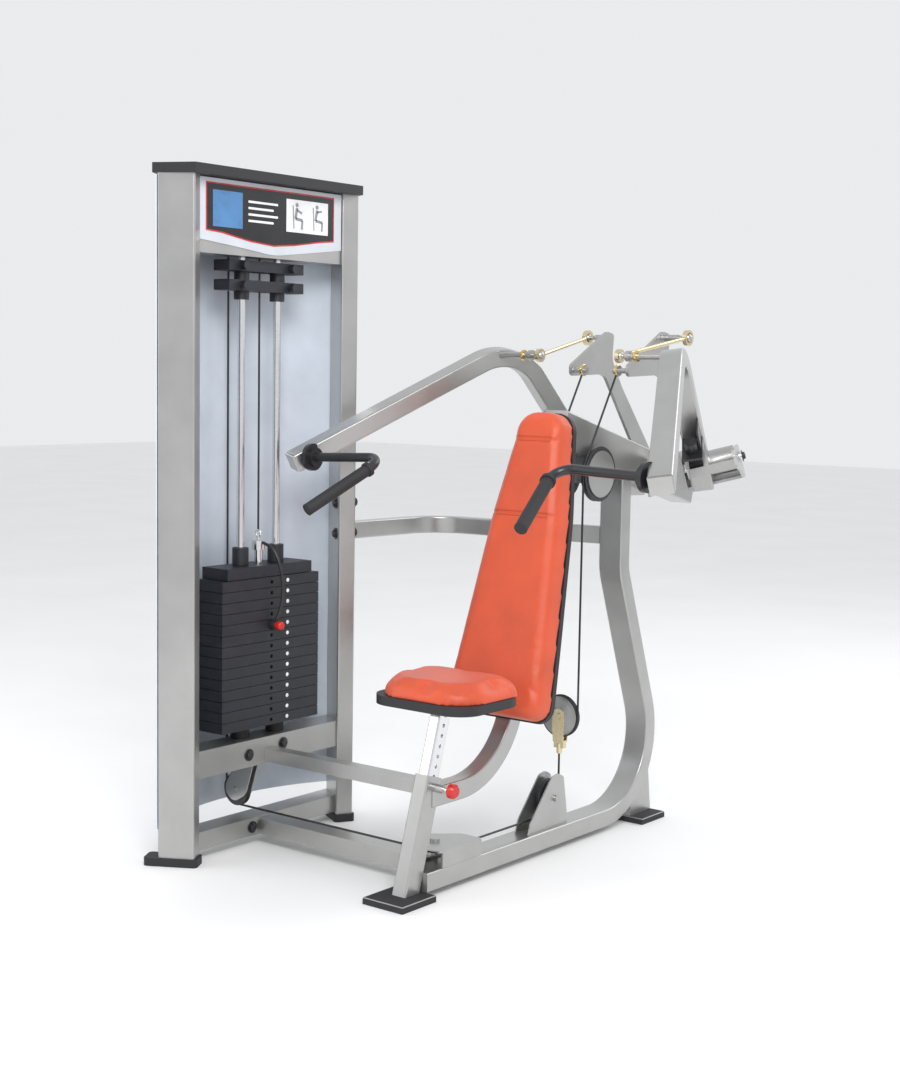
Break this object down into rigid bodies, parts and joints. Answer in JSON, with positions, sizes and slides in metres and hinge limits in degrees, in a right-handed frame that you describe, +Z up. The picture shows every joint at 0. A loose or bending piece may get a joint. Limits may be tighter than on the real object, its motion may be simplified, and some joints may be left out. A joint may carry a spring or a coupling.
{
  "type": "chest press machine",
  "caption": "Selectorised press machine: padded seat and reclined back rest, two overhead press arms, links and cables lifting a plate stack in an open tower.",
  "frame": {"origin": "centre of the footprint's bounding box, on the floor", "axes": "+Z up; -Y the way the sitter faces; +X to the sitter's left, away from the weight tower"},
  "size_m": [1.4462, 1.5701, 1.871],
  "materials": {
    "frame_paint": "satin champagne silver",
    "black_rubber": "matte",
    "black_board": "matte",
    "pad_vinyl": "soft vinyl",
    "black_paint": "satin",
    "chrome": "polished",
    "shroud_paint": "satin",
    "label_sheet": "satin print",
    "weight_paint": "painted",
    "zinc": "zinc plated",
    "cable_jacket": "smooth",
    "pulley_nylon": "satin",
    "red_knob": "glossy"
  },
  "bodies": {
    "frame": {"main_tube": "frame_paint", "feet": "black_rubber", "post_sleeve": "frame_paint", "back_support": "frame_paint", "back_board": "black_board", "back_pad": "pad_vinyl", "cross_tubes": "frame_paint", "side_brace": "frame_paint", "head_beam": "frame_paint", "pivot_brackets": "frame_paint", "pivot_shafts": "chrome", "rubber_buffers": "black_rubber", "tower_columns": "frame_paint", "tower_crossbars": "frame_paint", "tower_cap": "black_board", "shroud": "shroud_paint", "sign_plate": "label_sheet", "guide_rods": "chrome", "upper_hanger": "frame_paint", "base_pulley_bracket": "frame_paint", "corner_housing": "frame_paint", "tower_pulley_plates": "frame_paint", "frame_bolts": "black_paint", "rocker_cable_left": "cable_jacket", "rocker_cable_right": "cable_jacket", "block_cable": "cable_jacket", "lower_cable": "cable_jacket", "main_cable": "cable_jacket", "stack_cable": "cable_jacket", "resting_plates": "weight_paint"},
    "seat": {"seat_post": "chrome", "seat_board": "black_board", "seat_pad": "pad_vinyl"},
    "seat_lock": {"seat_pin": "red_knob"},
    "arm_left": {"arm_left": "frame_paint", "bumper_left": "black_paint", "handle_left": "black_paint", "grip_left": "black_rubber"},
    "arm_right": {"arm_right": "frame_paint", "bumper_right": "black_paint", "handle_right": "black_paint", "grip_right": "black_rubber"},
    "link_left": {"link_left": "zinc"},
    "link_right": {"link_right": "zinc"},
    "rocker_left": {"rocker_left": "frame_paint"},
    "rocker_right": {"rocker_right": "frame_paint"},
    "rising_block": {"pulley_block": "zinc", "block_pulley": "pulley_nylon"},
    "stack": {"lifted_plates": "weight_paint", "selector_rod": "chrome", "lanyard": "cable_jacket"},
    "selector": {"selector_pin": "red_knob"},
    "increment_1": {"increment_weight_1": "weight_paint"},
    "increment_2": {"increment_weight_2": "weight_paint"},
    "upper_pulley_left": {"upper_pulley_left": "pulley_nylon"},
    "upper_pulley_right": {"upper_pulley_right": "pulley_nylon"},
    "base_pulley": {"base_pulley": "pulley_nylon"},
    "corner_pulley": {"corner_pulley": "pulley_nylon"},
    "tower_pulley": {"tower_pulley": "pulley_nylon"},
    "top_pulley": {"top_pulley": "pulley_nylon"}
  },
  "joints": [
    {"name": "right_press", "type": "hinge", "parent": "frame", "child": "arm_right", "pos_m": [-0.0971, 0.609, 1.088], "axis": [-0.8754, 0.4082, 0.2588], "range_deg": [0, 24]},
    {"name": "left_press", "type": "hinge", "parent": "frame", "child": "arm_left", "pos_m": [0.2929, 0.609, 1.088], "axis": [-0.8754, -0.4082, -0.2588], "range_deg": [0, 24]},
    {"name": "right_link_swing", "type": "hinge", "parent": "arm_right", "child": "link_right", "pos_m": [-0.0361, 0.176, 1.393], "axis": [0.381, -0.56, 0.7357], "range_deg": [0, 17.77]},
    {"name": "left_link_swing", "type": "hinge", "parent": "arm_left", "child": "link_left", "pos_m": [0.2319, 0.176, 1.393], "axis": [0.381, 0.56, -0.7357], "range_deg": [0, 17.77]},
    {"name": "right_rocker_turn", "type": "hinge", "parent": "frame", "child": "rocker_right", "pos_m": [0.0019, 0.736, 1.04], "axis": [-1, 0, 0], "range_deg": [0, 15.8], "deforming": ["rocker_cable_right"]},
    {"name": "left_rocker_turn", "type": "hinge", "parent": "frame", "child": "rocker_left", "pos_m": [0.1939, 0.736, 1.04], "axis": [-1, 0, 0], "range_deg": [0, 15.8], "deforming": ["rocker_cable_left"]},
    {"name": "block_lift", "type": "slide", "parent": "frame", "child": "rising_block", "axis": [0, 0, 1], "range_m": [0, 0.1552], "deforming": ["block_cable", "lower_cable"]},
    {"name": "stack_lift", "type": "slide", "parent": "frame", "child": "stack", "axis": [0, 0, 1], "range_m": [0, 0.1552], "deforming": ["stack_cable"]},
    {"name": "upper_pulley_right_spin", "type": "hinge", "parent": "frame", "child": "upper_pulley_right", "pos_m": [0.0399, 0.201, 1.063], "axis": [-1, 0, 0], "range_deg": [0, 118.56]},
    {"name": "upper_pulley_left_spin", "type": "hinge", "parent": "frame", "child": "upper_pulley_left", "pos_m": [0.1559, 0.201, 1.063], "axis": [-1, 0, 0], "range_deg": [0, 118.56]},
    {"name": "base_pulley_spin", "type": "hinge", "parent": "frame", "child": "base_pulley", "pos_m": [0.0979, 0.073, 0.15], "axis": [1, 0, 0], "range_deg": [0, 177.85]},
    {"name": "corner_pulley_spin", "type": "hinge", "parent": "frame", "child": "corner_pulley", "pos_m": [0.0579, -0.389, 0.1], "axis": [0, 0, 1], "range_deg": [0, 222.31]},
    {"name": "tower_pulley_spin", "type": "hinge", "parent": "frame", "child": "tower_pulley", "pos_m": [-0.6351, -0.429, 0.144], "axis": [0, -1, 0], "range_deg": [0, 202.1]},
    {"name": "top_pulley_spin", "type": "hinge", "parent": "frame", "child": "top_pulley", "pos_m": [-0.6366, -0.4105, 1.75], "axis": [0.3991, -0.9169, 0], "range_deg": [0, 191.84]},
    {"name": "increment_1_slide", "type": "slide", "parent": "frame", "child": "increment_1", "axis": [0, 0, -1], "range_m": [0, 0.42]},
    {"name": "increment_2_slide", "type": "slide", "parent": "frame", "child": "increment_2", "axis": [0, 0, -1], "range_m": [0, 0.42]},
    {"name": "seat_height", "type": "slide", "parent": "frame", "child": "seat", "axis": [0, 0.284, 0.9588], "range_m": [-0.13, 0.08]},
    {"name": "seat_pin_pull", "type": "slide", "parent": "frame", "child": "seat_lock", "axis": [1, 0, 0], "range_m": [0, 0.012], "stiffness_N_per_m": 1500},
    {"name": "selector_pull", "type": "slide", "parent": "stack", "child": "selector", "axis": [1, 0, 0], "range_m": [0, 0.12]}
  ],
  "couplings": [
    {"joint": "left_press", "follows": "right_press", "ratio": 1},
    {"joint": "right_link_swing", "follows": "right_press", "ratio": 0.74055},
    {"joint": "left_link_swing", "follows": "right_press", "ratio": 0.74055},
    {"joint": "right_rocker_turn", "follows": "right_press", "ratio": 0.65853},
    {"joint": "left_rocker_turn", "follows": "right_press", "ratio": 0.65853},
    {"joint": "block_lift", "follows": "right_press", "m_per_rad": 0.37051},
    {"joint": "stack_lift", "follows": "right_press", "m_per_rad": 0.37051},
    {"joint": "upper_pulley_right_spin", "follows": "right_press", "ratio": 4.9402},
    {"joint": "upper_pulley_left_spin", "follows": "right_press", "ratio": 4.9402},
    {"joint": "base_pulley_spin", "follows": "right_press", "ratio": 7.4103},
    {"joint": "corner_pulley_spin", "follows": "right_press", "ratio": 9.2628},
    {"joint": "tower_pulley_spin", "follows": "right_press", "ratio": 8.4207},
    {"joint": "top_pulley_spin", "follows": "right_press", "ratio": 7.9935},
    {"joint": "increment_2_slide", "follows": "increment_1_slide", "ratio": 1}
  ]
}
